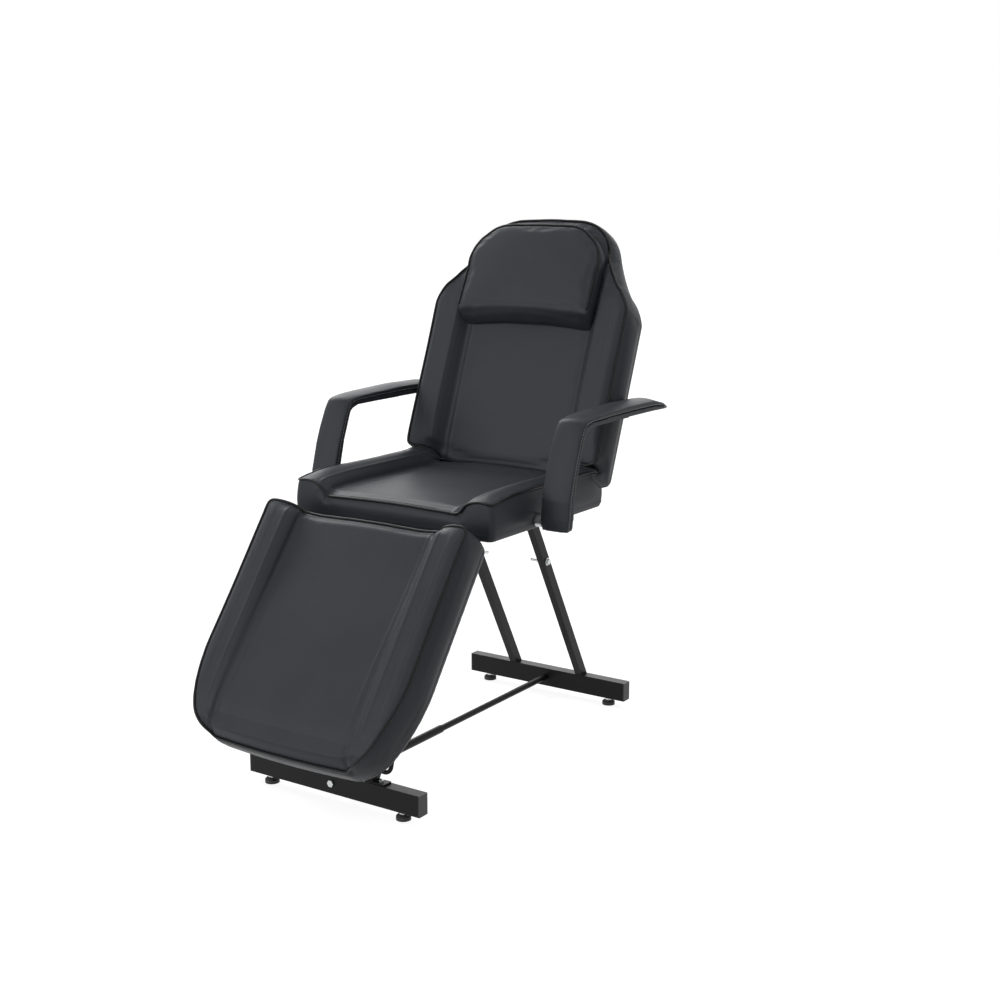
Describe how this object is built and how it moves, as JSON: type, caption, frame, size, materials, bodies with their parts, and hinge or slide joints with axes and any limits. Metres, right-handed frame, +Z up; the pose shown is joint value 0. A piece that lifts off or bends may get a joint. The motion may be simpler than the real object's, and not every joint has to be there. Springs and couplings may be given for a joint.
{
  "type": "reclining treatment chair",
  "caption": "Padded treatment chair on a steel frame, with a reclining backrest, a rising leg rest, armrests and a head pillow",
  "frame": {"origin": "on the floor under the middle of the seat", "axes": "+X to the sitter's left, +Y to the back, +Z up; the sitter faces -Y"},
  "size_m": [0.764, 1.1786, 1.286],
  "materials": {
    "frame_paint": "satin black powder coat",
    "cover_leather": "semi-gloss black synthetic leather",
    "board_cover": "black lining cloth over plywood",
    "board_wood": "raw plywood",
    "black_plastic": "black moulded plastic",
    "foot_rubber": "black rubber",
    "zinc_steel": "bright zinc plate"
  },
  "bodies": {
    "base": {"front_floor_beam": "frame_paint", "rear_floor_beam": "frame_paint", "beam_end_caps": "black_plastic", "foot_lock_nuts": "zinc_steel", "tie_rod_tube": "frame_paint", "tie_rod_sleeve": "frame_paint", "tie_rod_bolts": "zinc_steel", "right_front_leg": "frame_paint", "left_front_leg": "frame_paint", "right_rear_leg": "frame_paint", "left_rear_leg": "frame_paint", "front_foot_plates": "frame_paint", "foot_plate_bolts": "zinc_steel", "right_seat_rail": "frame_paint", "left_seat_rail": "frame_paint", "front_cross_tube": "frame_paint", "rear_cross_tube": "frame_paint", "back_hinge_bolts": "zinc_steel", "legrest_hinge_bolts": "zinc_steel", "hinge_nuts": "zinc_steel", "clamp_bolts": "zinc_steel", "bolt_washers": "zinc_steel", "rear_leg_bolts": "zinc_steel", "rear_leg_nuts": "zinc_steel", "right_legrest_rack": "frame_paint", "left_legrest_rack": "frame_paint", "seat_board": "board_wood", "seat_cushion": "cover_leather", "arm_blocks": "board_wood", "seat_screws": "zinc_steel", "arm_studs": "zinc_steel", "arm_spacers": "zinc_steel", "right_arm_pad": "cover_leather", "left_arm_pad": "cover_leather", "right_arm_board": "cover_leather", "left_arm_board": "cover_leather"},
    "backrest": {"right_back_bar": "frame_paint", "left_back_bar": "frame_paint", "back_cross_bar": "frame_paint", "back_board": "board_cover", "back_cushion": "cover_leather", "back_screws": "zinc_steel", "head_pillow": "cover_leather"},
    "legrest": {"right_legrest_bar": "frame_paint", "left_legrest_bar": "frame_paint", "legrest_cross_bar": "frame_paint", "legrest_board": "board_cover", "legrest_cushion": "cover_leather", "legrest_screws": "zinc_steel"},
    "prop": {"legrest_prop": "frame_paint"},
    "right_knob": {"right_clamp_knob": "black_plastic"},
    "left_knob": {"left_clamp_knob": "black_plastic"},
    "front_right_foot": {"front_right_foot_glide": "foot_rubber", "front_right_foot_stud": "zinc_steel"},
    "front_left_foot": {"front_left_foot_glide": "foot_rubber", "front_left_foot_stud": "zinc_steel"},
    "rear_right_foot": {"rear_right_foot_glide": "foot_rubber", "rear_right_foot_stud": "zinc_steel"},
    "rear_left_foot": {"rear_left_foot_glide": "foot_rubber", "rear_left_foot_stud": "zinc_steel"}
  },
  "joints": [
    {"name": "back_recline", "type": "hinge", "parent": "base", "child": "backrest", "pos_m": [0, 0.259, 0.606], "axis": [1, 0, 0], "range_deg": [-68.5, 0]},
    {"name": "legrest_swing", "type": "hinge", "parent": "base", "child": "legrest", "pos_m": [0, -0.256, 0.582], "axis": [1, 0, 0], "range_deg": [-53.7, 0]},
    {"name": "legrest_prop_swing", "type": "hinge", "parent": "legrest", "child": "prop", "pos_m": [0, -0.37734, 0.41057], "axis": [1, 0, 0], "range_deg": [0, 87]},
    {"name": "right_knob_turn", "type": "hinge", "parent": "base", "child": "right_knob", "pos_m": [-0.108, 0.27337, 0.56653], "axis": [1, 0, 0], "continuous": true},
    {"name": "left_knob_turn", "type": "hinge", "parent": "base", "child": "left_knob", "pos_m": [0.108, 0.27337, 0.56653], "axis": [1, 0, 0], "continuous": true},
    {"name": "front_right_foot_turn", "type": "hinge", "parent": "base", "child": "front_right_foot", "pos_m": [-0.193, -0.457, 0.02], "axis": [0, 0, 1], "continuous": true},
    {"name": "front_left_foot_turn", "type": "hinge", "parent": "base", "child": "front_left_foot", "pos_m": [0.193, -0.457, 0.02], "axis": [0, 0, 1], "continuous": true},
    {"name": "rear_right_foot_turn", "type": "hinge", "parent": "base", "child": "rear_right_foot", "pos_m": [-0.193, 0.457, 0.02], "axis": [0, 0, 1], "continuous": true},
    {"name": "rear_left_foot_turn", "type": "hinge", "parent": "base", "child": "rear_left_foot", "pos_m": [0.193, 0.457, 0.02], "axis": [0, 0, 1], "continuous": true}
  ],
  "couplings": [
    {"joint": "legrest_prop_swing", "follows": "legrest_swing", "ratio": -1.6129}
  ]
}
